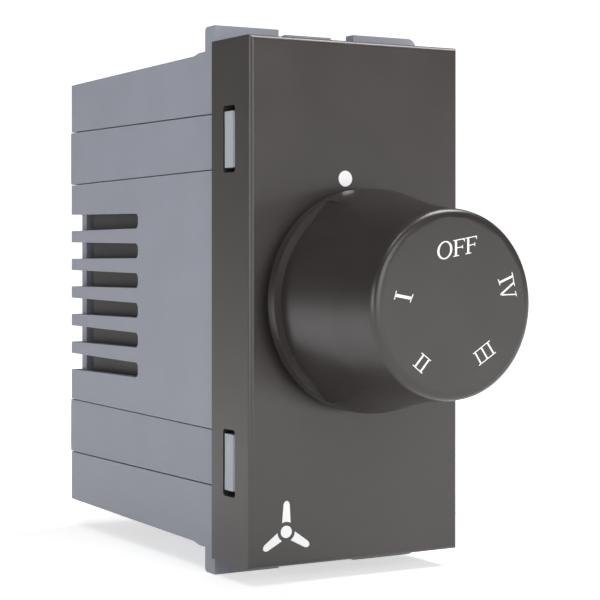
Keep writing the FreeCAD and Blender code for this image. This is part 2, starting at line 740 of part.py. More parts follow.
rectangle(sketch, star_front, rotor_rear + 1, flat_level, size("spindle_radius") + 1)
pocket(spindle, "SpindleFlats", sketch, size("spindle_radius") * 2.2, both=True)

# Carrier: web inside the skirt, clip legs with tabs, arms along the housing with rear hooks.
carrier = new_body("carrier")
sketch = front_sketch(carrier, "WebOutline", web_front)
rectangle(sketch, -web_half, web_half, -web_half_up, web_half_up)
pad(carrier, "Web", sketch, size("web_thickness"), to_plus=True)
leg_front = plate_inside + size("leg_front_gap")
tab_outer = plate_half - size("tab_inset")
tab_rear = window_front + size("tab_depth")
tab_front = window_front + size("tab_play")
tab_ramp = tab_front + size("tab_ramp_length")
hook_front = body_rear - size("hook_depth")
arm_points = [
    (leg_inner, leg_front),
    (web_half, leg_front),
    (web_half, tab_front),
    (tab_outer, tab_ramp),
    (tab_outer, tab_rear),
    (web_half, tab_rear),
    (web_half, 0),
    (arm_outer, 0),
    (arm_outer, body_rear),
    (arm_outer - size("hook_length"), body_rear),
    (arm_outer - size("hook_length"), hook_front),
    (arm_inner, hook_front),
    (arm_inner, size("arm_root_depth")),
    (leg_inner, size("arm_root_depth")),
]
for side, side_name in ((1, "Right"), (-1, "Left")):
    for end, end_name in ((1, "Upper"), (-1, "Lower")):
        for lean, part in (("arm_lean", "Inner"), ("arm_outer_lean", "Outer")):
            sketch = leaning_sketch(carrier, "Arm" + side_name + end_name + part, end, lean)
            outline(sketch, [(side * across, depth) for across, depth in arm_points])
            pad(carrier, "Arm" + side_name + end_name + part + "Body", sketch,
                size("arm_height"), both=True)
sketch = front_sketch(carrier, "WebHole", web_front)
circle(sketch, 0, 0, size("bush_radius") + size("bush_play"))
pocket(carrier, "BushHole", sketch, size("web_thickness") * 1.5, to_plus=True)

# Housing: tapered box open at the front, flange collar, lugs, arm channels, vents, wells.
housing = new_body("housing")
ramp_end = size("ramp_start") + size("ramp_length")
ramp_half = front_half + (rear_half - front_half) * ramp_end / body_rear
sketch = side_sketch(housing, "SideOutline", 0)
outline(sketch, [
    (0, -collar_half), (size("ramp_start"), -collar_half), (ramp_end, -ramp_half),
    (body_rear, -rear_half), (body_rear, rear_half), (ramp_end, ramp_half),
    (size("ramp_start"), collar_half), (0, collar_half)])
shell = pad(housing, "HousingBlock", sketch, body_half * 2, both=True)
rounded = round_edges(
    housing, "RearCorners", shell, size("rear_corner_radius"),
    lambda edge: near(edge.BoundBox.YMin, body_rear))
lug_foot = collar_half - 0.4
left_lug_in = -body_half + size("left_lug_width")
sketch = front_sketch(housing, "LeftLugs", 0)
for end in (1, -1):
    rectangle(sketch, -body_half, left_lug_in, end * lug_foot, end * lug_reach)
left_lugs = pad(housing, "LeftLugPads", sketch, size("flange_thickness"), to_plus=True)
right_lug_out = plate_half + size("right_lug_overhang")
right_lug_in = right_lug_out - size("right_lug_width")
sketch = front_sketch(housing, "RightLugs", 0)
for end in (1, -1):
    rectangle(sketch, right_lug_in, right_lug_out, end * lug_foot, end * lug_reach)
right_lugs = pad(housing, "RightLugPads", sketch, size("right_lug_thickness"), to_plus=True)
for end, end_name in ((1, "Upper"), (-1, "Lower")):
    sketch = side_sketch(housing, "RightLugRamp" + end_name, right_lug_in)
    outline(sketch, [
        (size("right_lug_thickness") - 0.2, end * lug_foot),
        (size("flange_thickness"), end * lug_foot),
        (size("flange_thickness"), end * collar_half),
        (size("right_lug_thickness"), end * (collar_half + size("right_lug_ramp"))),
        (size("right_lug_thickness") - 0.2, end * (collar_half + size("right_lug_ramp")))])
    right_lugs = pad(housing, "RightLugRampPad" + end_name, sketch,
                     body_half - right_lug_in, to_plus=True)
mid_lug_half = size("mid_lug_width") / 2
sketch = front_sketch(housing, "MiddleTabs", size("flange_thickness"))
for end in (1, -1):
    rectangle(sketch, -mid_lug_half, mid_lug_half, end * lug_foot, end * mid_lug_reach)
mid_lugs = pad(housing, "MiddleTabPads", sketch, size("mid_lug_thickness"), to_plus=False)
lug_backs = round_edges(
    housing, "LeftLugBacks", mid_lugs, size("lug_radius"),
    lambda edge: along(edge, X_AXIS) and near(middle_of(edge).y, size("flange_thickness"))
    and near(abs(middle_of(edge).z), lug_reach))
lug_corners = round_edges(
    housing, "RightLugCorners", lug_backs, size("right_lug_corner"),
    lambda edge: along(edge, Y_AXIS) and near(middle_of(edge).x, right_lug_out)
    and near(abs(middle_of(edge).z), lug_reach))
sketch = front_sketch(housing, "MainHollow", 0)
rectangle(sketch, -cavity_half, cavity_half, -cavity_up, cavity_up)
pocket(housing, "MainCavity", sketch, rear_inside, to_plus=True)
sketch = front_sketch(housing, "BoardHollow", 0)
rectangle(sketch, -cavity_half, cavity_half, -board_up, board_up)
pocket(housing, "BoardCavity", sketch, board_rear, to_plus=True)
# The cavity is wider wherever no arm channel runs outside it.
lean_drop = size("arm_lean").tan() * body_rear
middle_up = arm_centre - lean_drop - channel_half - size("channel_floor")
upper_low = arm_centre + channel_half + size("channel_floor")
sketch = front_sketch(housing, "WideHollow", 0)
rectangle(sketch, -side_inner, side_inner, -middle_up, middle_up)
for end in (1, -1):
    rectangle(sketch, -side_inner, side_inner, end * upper_low, end * cavity_up)
pocket(housing, "WideCavity", sketch, rear_inside, to_plus=True)
channel_points = [
    (body_half + 2, -1),
    (cavity_half * 0.97, -1),
    (cavity_half * 0.97, size("arm_root_depth") + size("arm_gap")),
    (channel_inner, size("arm_root_depth") + size("arm_gap")),
    (channel_inner, hook_front - size("arm_gap")),
    (arm_outer - size("hook_length") - size("arm_gap"), hook_front - size("arm_gap")),
    (arm_outer - size("hook_length") - size("arm_gap"), body_rear + 1),
    (body_half + 2, body_rear + 1),
]
for side, side_name in ((1, "Right"), (-1, "Left")):
    for end, end_name in ((1, "Upper"), (-1, "Lower")):
        for lean, part in (("arm_lean", "Inner"), ("arm_outer_lean", "Outer")):
            sketch = leaning_sketch(housing, "Channel" + side_name + end_name + part, end, lean)
            outline(sketch, [(side * across, depth) for across, depth in channel_points])
            pocket(housing, "Channel" + side_name + end_name + part + "Cut", sketch,
                   channel_half * 2, both=True)
slot_front = body_rear - size("slot_length")
slot_band = (arm_centre - size("arm_height") / 2 - size("slot_margin")) * 2
slot_pitch = slot_band / size("slot_count")
slot_slope = (size("slot_bar_front") - size("slot_bar_rear")) / (
    body_rear - slot_front) / 2
beyond = body_rear + 1
front_rise = (slot_pitch - size("slot_bar_front")) / 2
beyond_rise = front_rise + slot_slope * (beyond - slot_front)
lowest = -slot_pitch * (size("slot_count") - 1) / 2
vents = []
for side, side_name in ((1, "Right"), (-1, "Left")):
    sketch = side_sketch(housing, "Vent" + side_name, side * body_half)
    outline(sketch, [
        (slot_front, lowest - front_rise), (beyond, lowest - beyond_rise),
        (beyond, lowest + beyond_rise), (slot_front, lowest + front_rise)])
    slot = pocket(housing, "Vent" + side_name + "Cut", sketch, size("slot_wrap"),
                  to_plus=(side < 0))
    row = housing.newObject("PartDesign::LinearPattern", "Vent" + side_name + "Row")
    row.Originals = [slot]
    row.Direction = (sketch, ["V_Axis"])
    row_length = slot_pitch * (size("slot_count") - 1)
    row.Length = row_length.value
    bind(row, "Length", row_length)
    row.Occurrences = VALUES["slot_count"]
    bind(row, "Occurrences", size("slot_count"))
    housing.Tip = row
    vents.append(row)
slot_ends = cut_edges(
    housing, "VentEnds", vents[-1], size("slot_corner"),
    lambda edge: along(edge, X_AXIS) and near(middle_of(edge).y, slot_front))
# Wells over the terminal screws and entries for the two wires.
terminal_half = cavity_half - size("terminal_side_gap") - size("terminal_width") / 2
terminal_low = -cavity_up
terminal_rear = rear_inside - size("terminal_rear_gap")
terminal_front = terminal_rear - size("terminal_depth")
terminal_high = terminal_low + size("terminal_height")
screw_up = terminal_low + size("terminal_height") / 2
wire_depth = terminal_front + size("wire_bore_radius") + 0.9
sketch = front_sketch(housing, "WellOutline", body_rear + 1)
for side in (1, -1):
    circle(sketch, side * terminal_half, screw_up, size("screw_well_radius"))
pocket(housing, "ScrewWells", sketch, size("rear_wall") + 1.5, to_plus=False)
sketch = top_sketch(housing, "EntryOutline", -front_half - 1)
for side in (1, -1):
    circle(sketch, side * terminal_half, wire_depth, size("wire_entry_radius"))
entries = pocket(housing, "WireEntries", sketch, size("end_wall") + 2, to_plus=True)

# Bush, lock washer, nut and retaining clip on the axis.


def cut_corner_square(sketch, half, corner):
    """Square with its four corners cut off."""
    near_corner = half - corner
    outline(sketch, [
        (half, -near_corner), (half, near_corner), (near_corner, half), (-near_corner, half),
        (-half, near_corner), (-half, -near_corner), (-near_corner, -half),
        (near_corner, -half)])


bush = new_body("bush")
sketch = front_sketch(bush, "BushFlange", 0)
cut_corner_square(sketch, size("bush_flange_half"), size("bush_flange_half") * 0.586)
pad(bush, "BushFlangePad", sketch, size("bush_flange"), to_plus=True)
sketch = front_sketch(bush, "BushBarrel", 0)
circle(sketch, 0, 0, size("bush_radius"))
pad(bush, "BushBarrelPad", sketch, size("bush_front"), to_plus=False)
sketch = front_sketch(bush, "BushBore", bush_front - 1)
circle(sketch, 0, 0, size("spindle_radius") + size("shaft_play"))
pocket(bush, "BushBoreCut", sketch, size("bush_front") + size("bush_flange") + 2, to_plus=True)

washer = new_body("lock_washer")
sketch = front_sketch(washer, "WasherOutline", web_front)
teeth = VALUES["washer_tooth_count"]
tooth_points = []
for index in range(2 * teeth):
    reach = size("washer_radius") - (size("washer_tooth_depth") if index % 2 else as_size(0))
    tooth_points.append(polar(reach, as_size(180.0 * index / teeth)))
outline(sketch, tooth_points)
circle(sketch, 0, 0, size("bush_radius") + 0.05)
pad(washer, "WasherRing", sketch, size("washer_thickness"), to_plus=False)

nut = new_body("bush_nut")
nut_rear = web_front - size("washer_thickness")
sketch = front_sketch(nut, "NutOutline", nut_rear)
corner = size("nut_flats") / math.sqrt(3)
outline(sketch, [
    (corner, 0), (corner / 2, size("nut_flats") / 2), (-corner / 2, size("nut_flats") / 2),
    (-corner, 0), (-corner / 2, -size("nut_flats") / 2), (corner / 2, -size("nut_flats") / 2)])
circle(sketch, 0, 0, size("bush_radius"))
pad(nut, "NutBody", sketch, size("nut_height"), to_plus=False)

clip = new_body("retaining_clip")
sketch = front_sketch(clip, "ClipOutline", clip_rear)
clip_bore = size("spindle_radius") - size("clip_groove") + 0.05
circle(sketch, 0, 0, size("clip_radius"))
circle(sketch, 0, 0, clip_bore)
pad(clip, "ClipRing", sketch, size("clip_thickness"), to_plus=False)
sketch = front_sketch(clip, "ClipMouth", clip_rear + 1)
rectangle(sketch, -clip_bore * 0.8, clip_bore * 0.8, -size("clip_radius") - 1, 0)
pocket(clip, "ClipOpening", sketch, size("clip_thickness") + 2, to_plus=False)

# Switch: case, star rotor, detent spring, wiper, wafer and contacts.
case_half = side_inner - size("case_play")
case_inner = case_half - size("case_wall")
star_radius = case_inner - size("star_room")
valley_centre = star_radius + size("star_valley_out")
contact_circle = case_inner - size("contact_inset") - size("contact_radius")
case = new_body("switch_case")
sketch = front_sketch(case, "CaseOutline", case_front)
cut_corner_square(sketch, case_half, size("case_corner"))
pad(case, "CaseBody", sketch, case_rear - case_front, to_plus=True)
sketch = front_sketch(case, "CaseHollow", case_rear)
cut_corner_square(sketch, case_inner,
                  size("case_corner") - size("case_wall") * 0.586)
pocket(case, "CaseCavity", sketch,
       case_rear - case_front - size("case_front_wall"), to_plus=False)
sketch = front_sketch(case, "CaseBore", case_front)
circle(sketch, 0, 0, size("spindle_radius") + size("shaft_play"))
pocket(case, "CaseHole", sketch, size("case_front_wall") * 1.5, to_plus=True)

rotor = new_body("rotor")
sketch = front_sketch(rotor, "StarOutline", star_front)
circle(sketch, 0, 0, star_radius)
pad(rotor, "StarDisc", sketch, size("star_thickness"), to_plus=True)
sketch = front_sketch(rotor, "ValleyOutline", star_front)
circle(sketch, 0, valley_centre, size("star_valley_radius"))
valley = pocket(rotor, "Valley", sketch, size("star_thickness"), to_plus=True)
valleys = rotor.newObject("PartDesign::PolarPattern", "Valleys")
valleys.Originals = [valley]
valleys.Axis = (sketch, ["N_Axis"])
valleys.Angle = 360
valleys.Occurrences = VALUES["star_count"]
bind(valleys, "Occurrences", size("star_count"))
rotor.Tip = valleys
sketch = front_sketch(rotor, "HubOutline", star_rear)
circle(sketch, 0, 0, size("rotor_hub_radius"))
pad(rotor, "RotorHub", sketch, size("rotor_hub_length"), to_plus=True)
sketch = front_sketch(rotor, "RotorBore", star_front)
d_section(sketch, bore_radius, flat_height)
pocket(rotor, "RotorSocket", sketch, size("star_thickness") + size("rotor_hub_length"),
       to_plus=True)

# Leaf spring over the star: straight wings and a bump that sits in the top valley.
valley_floor = valley_centre - size("star_valley_radius")
bump_low = valley_floor + size("spring_gap")
wing_low = star_radius + 0.25
bump_half = size("star_valley_radius") * 0.25
shoulder_half = size("star_valley_radius") * 1.0
leaf = size("spring_thickness")
spring = new_body("detent_spring")
spring_front = star_front + (size("star_thickness") - size("spring_width")) / 2
sketch = front_sketch(spring, "SpringOutline", spring_front)
outline(sketch, [
    (-size("spring_half_span"), wing_low), (-shoulder_half, wing_low), (-bump_half, bump_low),
    (bump_half, bump_low), (shoulder_half, wing_low), (size("spring_half_span"), wing_low),
    (size("spring_half_span"), wing_low + leaf), (shoulder_half - leaf / 3, wing_low + leaf),
    (bump_half - leaf / 3, bump_low + leaf), (-bump_half + leaf / 3, bump_low + leaf),
    (-shoulder_half + leaf / 3, wing_low + leaf), (-size("spring_half_span"), wing_low + leaf)])
pad(spring, "SpringLeaf", sketch, size("spring_width"), to_plus=True)

# Wiper sheet behind the rotor hub: a ring and one finger that reaches the contact circle.
head_front = case_rear - size("contact_head")
wiper = new_body("wiper")
sketch = front_sketch(wiper, "WiperRing", rotor_rear)
cut_corner_square(sketch, size("rotor_hub_radius"), size("rotor_hub_radius") * 0.586)
circle(sketch, 0, 0, size("spindle_radius") + 0.15)
pad(wiper, "WiperSheet", sketch, size("wiper_thickness"), to_plus=True)
sketch = front_sketch(wiper, "WiperFinger", rotor_rear)
finger_half = size("wiper_width") / 2
rectangle(sketch, -finger_half, finger_half, size("spindle_radius") + 0.5,
          contact_circle + finger_half)
pad(wiper, "WiperFingerPad", sketch, size("wiper_thickness"), to_plus=True)
sketch = front_sketch(wiper, "WiperTip", rotor_rear)
tip_half = size("contact_radius") * 0.5
rectangle(sketch, -tip_half, tip_half, contact_circle - tip_half,
          contact_circle + tip_half)
pad(wiper, "WiperTipPad", sketch, head_front - size("wiper_gap") - rotor_rear, to_plus=True)
ring_middle = (size("ring_inner") + size("ring_outer")) / 2
ring_front = case_rear - size("ring_thickness")
sketch = front_sketch(wiper, "WiperInnerTip", rotor_rear)
inner_half = (size("ring_outer") - size("ring_inner")) * 0.35
rectangle(sketch, -inner_half, inner_half, -ring_middle - inner_half, -ring_middle + inner_half)
pad(wiper, "WiperInnerTipPad", sketch, ring_front - size("wiper_gap") - rotor_rear,
    to_plus=True)

tail_end = board_rear + size("tail_rise")
wafer = new_body("contact_wafer")
sketch = front_sketch(wafer, "WaferOutline", case_rear)
cut_corner_square(sketch, case_half, size("case_corner"))
pad(wafer, "WaferDisc", sketch, size("wafer_thickness"), to_plus=True)
tail_half = size("contact_tail") / 2
lead_half = size("lead_width") / 2


def square(sketch, across, up, half):
    rectangle(sketch, across - half, across + half, up - half, up + half)


def pin_rod(label, half, start, end, across, up):
    """Square rod along the axis of the switch."""
    half, start, end, across, up = [as_size(item) for item in (half, start, end, across, up)]
    item = doc.addObject("Part::Box", label.title().replace("_", ""))
    item.Label = label
    bind(item, "Length", half * 2)
    bind(item, "Width", end - start)
    bind(item, "Height", half * 2)
    item.Placement.Base = Vector((across - half).value, start.value, (up - half).value)
    bind(item, "Placement.Base.x", across - half)
    bind(item, "Placement.Base.y", start)
    bind(item, "Placement.Base.z", up - half)
    return item


contact_spots = []
for place in range(VALUES["star_count"]):
    angle = 90 + size("step_angle") * place
    spot = (contact_circle * angle.cos(), contact_circle * angle.sin())
    contact_spots.append(spot)
ring_spots = []
for turn_part in (0.5, 2.5):
    angle = 90 + size("step_angle") * turn_part
    ring_spots.append((ring_middle * angle.cos(), ring_middle * angle.sin()))
sketch = front_sketch(wafer, "WaferHoles", case_rear)
for across, up in contact_spots + ring_spots:
    square(sketch, across, up, tail_half + size("tail_play"))
pocket(wafer, "WaferDrilling", sketch, size("wafer_thickness") * 1.5, to_plus=True)

heads = []
for place, (across, up) in enumerate(contact_spots):
    head = rod("contact_head_%d" % place, "Y", size("contact_radius"), head_front, case_rear,
               across, up)
    tail = pin_rod("contact_tail_%d" % place, tail_half, case_rear, tail_end, across, up)
    heads.append(join("contact_%d" % place, [head, tail]))
contacts = doc.addObject("Part::Compound", "FixedContacts")
contacts.Label = "fixed_contacts"
contacts.Links = heads

ring_outer = rod("ring_outer", "Y", size("ring_outer"), ring_front, case_rear, 0, 0)
ring_inner = rod("ring_inner", "Y", size("ring_inner"), ring_front - 1, case_rear + 1, 0, 0)
ring_disc = take("ring_disc", ring_outer, ring_inner)
ring_tails = []
for place, (across, up) in enumerate(ring_spots):
    ring_tails.append(pin_rod("ring_tail_%d" % place, tail_half, case_rear, tail_end,
                              across, up))
common_ring = join("common_ring", [ring_disc] + ring_tails)

# Circuit board on the ledges of the housing, drilled for every tail and lead.
board_half = cavity_half - size("board_play")
board_half_up = board_up - size("board_play")
cap_front = board_rear + size("capacitor_standoff")
cap_rear = rear_inside - size("capacitor_rear_gap")
cap_half = side_inner - size("capacitor_play")
cap_low = size("capacitor_split") / 2
cap_high = cavity_up - size("terminal_height") - size("capacitor_clearance")
cap_middle = (cap_low + cap_high) / 2
lead_across = cap_half - size("lead_inset")
resistor_up = cap_high + size("resistor_radius") + size("resistor_gap")
tag_up = screw_up
board = new_body("circuit_board")
sketch = front_sketch(board, "BoardOutline", board_front)
rectangle(sketch, -board_half, board_half, -board_half_up, board_half_up)
pad(board, "BoardSheet", sketch, size("board_thickness"), to_plus=True)
sketch = front_sketch(board, "BoardHoles", board_front)
for across, up in contact_spots + ring_spots:
    square(sketch, across, up, tail_half + size("tail_play"))
for end in (1, -1):
    for side in (1, -1):
        square(sketch, side * lead_across, end * cap_middle, lead_half + size("tail_play"))
for side in (1, -1):
    square(sketch, side * size("resistor_spread") / 2, resistor_up,
           lead_half + size("tail_play"))
tag_hole_across = size("tag_width") / 2 + size("tail_play")
tag_hole_up = size("tag_thickness") / 2 + size("tail_play")
for side in (1, -1):
    rectangle(sketch, side * terminal_half - tag_hole_across,
              side * terminal_half + tag_hole_across, tag_up - tag_hole_up, tag_up + tag_hole_up)
pocket(board, "BoardDrilling", sketch, size("board_thickness") * 1.5, to_plus=True)

# Capacitors: moulded boxes with two leads each.
for end, label in ((1, "capacitor_upper"), (-1, "capacitor_lower")):
    capacitor = new_body(label)
    sketch = front_sketch(capacitor, "CapacitorOutline" + label[-5:], cap_front)
    rectangle(sketch, -cap_half, cap_half, end * cap_low,
              end * cap_high)
    box = pad(capacitor, "CapacitorBox" + label[-5:], sketch, cap_rear - cap_front,
              to_plus=True)
    smooth = round_edges(capacitor, "CapacitorEdges" + label[-5:], box, size("capacitor_edge"),
                         lambda edge: along(edge, Y_AXIS))
    sketch = front_sketch(capacitor, "CapacitorLeads" + label[-5:], cap_front)
    for side in (1, -1):
        square(sketch, side * lead_across, end * cap_middle, lead_half)
    pad(capacitor, "CapacitorLeadPads" + label[-5:], sketch,
        cap_front - board_front + size("tail_rise") / 2, to_plus=False)

# Two power resistors standing on the board.
resistor_items = []
resistor_front = board_rear + 0.8
for side, side_name in ((1, "right"), (-1, "left")):
    across = side * size("resistor_spread") / 2
    tube = rod("resistor_tube_" + side_name, "Y", size("resistor_radius"), resistor_front,
               resistor_front + size("resistor_length"), across, resistor_up)
    lead = pin_rod("resistor_lead_" + side_name, lead_half, board_front - 0.3,
                   resistor_front, across, resistor_up)
    resistor_items.append(join("resistor_" + side_name, [tube, lead]))
resistors = doc.addObject("Part::Compound", "Resistors")
resistors.Label = "resistors"
resistors.Links = resistor_items

# Terminals: brass blocks with a wire bore from below, a screw from the rear, a solder tag.
block_half = size("terminal_width") / 2
for side, label in ((-1, "line"), (1, "load")):
    centre = side * terminal_half
    terminal = new_body("terminal_" + label)
    sketch = front_sketch(terminal, "BlockOutline" + label, terminal_front)
    rectangle(sketch, centre - block_half, centre + block_half, terminal_low, terminal_high)
    pad(terminal, "BlockBody" + label, sketch, size("terminal_depth"), to_plus=True)
    sketch = front_sketch(terminal, "TagOutline" + label, terminal_front)
    rectangle(sketch, centre - size("tag_width") / 2, centre + size("tag_width") / 2,
              tag_up - size("tag_thickness") / 2, tag_up + size("tag_thickness") / 2)
    pad(terminal, "TagBody" + label, sketch,
        terminal_front - board_front + size("tail_rise") / 2, to_plus=False)
    sketch = top_sketch(terminal, "WireOutline" + label, terminal_low - 1)
    circle(sketch, centre, wire_depth, size("wire_bore_radius"))
    pocket(terminal, "WireBore" + label, sketch, size("terminal_height") + 2, to_plus=True)
    sketch = front_sketch(terminal, "ThreadOutline" + label, terminal_rear + 1)
    circle(sketch, centre, screw_up, size("screw_radius"))
    pocket(terminal, "ScrewHole" + label, sketch, terminal_rear + 1 - wire_depth, to_plus=False)
    screw = new_body("terminal_screw_" + label)
    sketch = front_sketch(screw, "ShankOutline" + label, terminal_rear)
    circle(sketch, centre, screw_up, size("screw_radius"))
    pad(screw, "ShankBody" + label, sketch, size("screw_reach"), to_plus=False)
    sketch = front_sketch(screw, "HeadOutline" + label, terminal_rear)
    circle(sketch, centre, screw_up, size("screw_head_radius"))
    pad(screw, "HeadBody" + label, sketch, size("screw_head_height"), to_plus=True)
    sketch = front_sketch(screw, "SlotOutline" + label,
                          terminal_rear + size("screw_head_height") + 1)
    rectangle(sketch, centre - size("screw_head_radius") - 1,
              centre + size("screw_head_radius") + 1,
              screw_up - size("screw_slot_width") / 2, screw_up + size("screw_slot_width") / 2)
    pocket(screw, "DriverSlot" + label, sketch, size("screw_slot_depth") + 1, to_plus=False)

doc.recompute()

NODES = [
    "front_plate", "knob", "hub_collar", "spindle", "carrier", "housing", "bush",
    "lock_washer", "bush_nut", "retaining_clip", "switch_case", "rotor", "detent_spring",
    "wiper", "contact_wafer", "fixed_contacts", "common_ring", "circuit_board",
    "capacitor_upper", "capacitor_lower", "resistors", "terminal_line", "terminal_load",
    "terminal_screw_line", "terminal_screw_load",
]

for item in doc.Objects:
    if "Invalid" in item.State or "Error" in item.State:
        raise ValueError("object failed: %s %s" % (item.Label, item.State))
    if item.isDerivedFrom("PartDesign::Feature") and item.Shape.isNull():
        raise ValueError("feature has no shape: %s" % item.Label)

os.makedirs("parts", exist_ok=True)
shapes = []
for label in NODES:
    found = doc.getObjectsByLabel(label)
    shape = found[0].Shape
    if shape.isNull() or not shape.isValid():
        raise ValueError("shape is not sound: " + label)
    shapes.append((label, shape))
for label, shape in shapes:
    shape.exportStep("parts/%s.step" % label)
    print("%-22s solids %d  volume %9.2f mm3" % (label, len(shape.Solids), shape.Volume))
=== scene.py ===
import math

import bmesh
import bpy
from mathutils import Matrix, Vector


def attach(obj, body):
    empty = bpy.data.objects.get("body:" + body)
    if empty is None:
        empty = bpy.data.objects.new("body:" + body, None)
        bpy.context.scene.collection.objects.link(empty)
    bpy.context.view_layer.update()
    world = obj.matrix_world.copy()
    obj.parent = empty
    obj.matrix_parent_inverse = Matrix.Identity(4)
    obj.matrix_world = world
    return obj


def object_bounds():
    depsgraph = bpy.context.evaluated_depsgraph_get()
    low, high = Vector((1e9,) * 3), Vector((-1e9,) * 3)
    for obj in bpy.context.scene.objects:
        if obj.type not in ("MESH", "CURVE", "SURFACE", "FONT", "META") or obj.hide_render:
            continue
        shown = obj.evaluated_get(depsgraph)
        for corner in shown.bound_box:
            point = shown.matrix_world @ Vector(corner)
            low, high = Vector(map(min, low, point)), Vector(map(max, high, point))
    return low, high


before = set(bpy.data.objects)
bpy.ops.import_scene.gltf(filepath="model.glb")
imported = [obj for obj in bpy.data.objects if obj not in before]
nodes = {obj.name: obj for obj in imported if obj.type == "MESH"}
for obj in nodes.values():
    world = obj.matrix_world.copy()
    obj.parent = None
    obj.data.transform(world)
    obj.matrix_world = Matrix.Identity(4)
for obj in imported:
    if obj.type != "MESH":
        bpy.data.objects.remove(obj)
cad_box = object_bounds()

MM = 0.001
scene = bpy.context.scene
scene.view_settings.view_transform = "Standard"


# Shader helpers

def linear(rgb):
    """An sRGB colour written 0 to 255, as linear values."""
    out = []
    for value in rgb:
        c = value / 255.0
        out.append(c / 12.92 if c <= 0.04045 else ((c + 0.055) / 1.055) ** 2.4)
    return tuple(out) + (1.0,)


def shift(rgb, factor):
    """A colour made lighter or darker by a factor."""
    return tuple(max(0.0, min(255.0, value * factor)) for value in rgb)


def new_material(name):
    """Material with its node tree and its main shader."""
    mat = bpy.data.materials.new(name)
    mat.use_nodes = True
    return mat, mat.node_tree, mat.node_tree.nodes["Principled BSDF"]


def add_node(tree, kind, values):
    """Shader node with constants on the inputs that values names."""
    made = tree.nodes.new(kind)
    for socket, value in values.items():
        made.inputs[socket].default_value = value
    return made


def object_point(tree):
    """Socket with the point on the object, in metres along the object's own axes."""
    return tree.nodes.new("ShaderNodeTexCoord").outputs["Object"]


def split_point(tree, point):
    """Sockets X, Y and Z of a point."""
    made = tree.nodes.new("ShaderNodeSeparateXYZ")
    tree.links.new(point, made.inputs["Vector"])
    return made.outputs


def noise(tree, point, scale, detail, roughness=0.5):
    """Sockets of a noise texture: Fac and Color."""
    made = add_node(tree, "ShaderNodeTexNoise",
                    {"Scale": scale, "Detail": detail, "Roughness": roughness})
    tree.links.new(point, made.inputs["Vector"])
    return made.outputs


def colour_ramp(tree, source, low, high, spots=(0.0, 1.0)):
    """Socket that goes from colour low to colour high while the source crosses the spots."""
    made = tree.nodes.new("ShaderNodeValToRGB")
    start, end = made.color_ramp.elements
    start.position, end.position = spots
    start.color, end.color = linear(low), linear(high)
    tree.links.new(source, made.inputs["Fac"])
    return made.outputs["Color"]


def map_range(tree, source, start, end, low, high):
    """Socket that goes from low to high while the source goes from start to end."""
    made = add_node(tree, "ShaderNodeMapRange",
                    {"From Min": start, "From Max": end, "To Min": low, "To Max": high})
    tree.links.new(source, made.inputs["Value"])
    return made.outputs["Result"]


def maths(tree, operation, first, second):
    """Socket with two values put together."""
    made = tree.nodes.new("ShaderNodeMath")
    made.operation = operation
    tree.links.new(first, made.inputs[0])
    tree.links.new(second, made.inputs[1])
    return made.outputs["Value"]


def relief(tree, shader, height, strength, depth):
    """Fine relief on a shader, depth in mm."""
    made = add_node(tree, "ShaderNodeBump", {"Strength": strength, "Distance": depth * MM})
    tree.links.new(height, made.inputs["Height"])
    tree.links.new(made.outputs["Normal"], shader.inputs["Normal"])


# Materials

# a noise texture's values lie mostly between these two
NOISE_LOW, NOISE_HIGH = 0.3, 0.7
GLOSS_SPREAD = 0.03
SPECK = 0.1


def moulded(name, rgb, rough, grain=0.22, depth=0.02, spread=0.03, specular=0.5, cloud=6.0,
            metallic=0.0):
    """Moulded plastic or metal: fine eroded grain, faint cloudy tone, uneven gloss.

    grain is the size of the texture in mm, depth its height in mm, cloud the size of the
    faint patches in mm and spread how far they change the colour.
    """
    mat, tree, shader = new_material(name)
    shader.inputs["Specular IOR Level"].default_value = specular
    shader.inputs["Metallic"].default_value = metallic
    point = object_point(tree)
    patches = noise(tree, point, 1.0 / (cloud * MM), 3.0)
    tone = colour_ramp(tree, patches["Fac"], shift(rgb, 1.0 - spread), shift(rgb, 1.0 + spread),
                       (NOISE_LOW, NOISE_HIGH))
    fine = noise(tree, point, 1.0 / (grain * MM), 2.0, 0.6)

    speck = tree.nodes.new("ShaderNodeMix")
    speck.data_type = "RGBA"
    speck.blend_type = "SOFT_LIGHT"
    speck.inputs["Factor"].default_value = SPECK
    tree.links.new(tone, speck.inputs["A"])
    tree.links.new(fine["Color"], speck.inputs["B"])
    tree.links.new(speck.outputs["Result"], shader.inputs["Base Color"])

    gloss = map_range(tree, patches["Fac"], NOISE_LOW, NOISE_HIGH,
                      rough - GLOSS_SPREAD, rough + GLOSS_SPREAD)
    tree.links.new(gloss, shader.inputs["Roughness"])
    relief(tree, shader, fine["Fac"], 1.0, depth)
    return mat


def metal(name, rgb, rough):
    """Rolled or turned metal: fine drawn lines along Y in place of the moulded grain."""
    mat = moulded(name, rgb, rough, grain=0.3, spread=0.05, cloud=3.0, metallic=1.0)
    tree = mat.node_tree
    stretch = add_node(tree, "ShaderNodeMapping", {"Scale": (1.0, 0.08, 1.0)})
    tree.links.new(object_point(tree), stretch.inputs["Vector"])
    line_width = 0.05
    lines = noise(tree, stretch.outputs["Vector"], 1.0 / (line_width * MM), 1.0)
    relief(tree, tree.nodes["Principled BSDF"], lines["Fac"], 0.5, 0.002)
    return mat


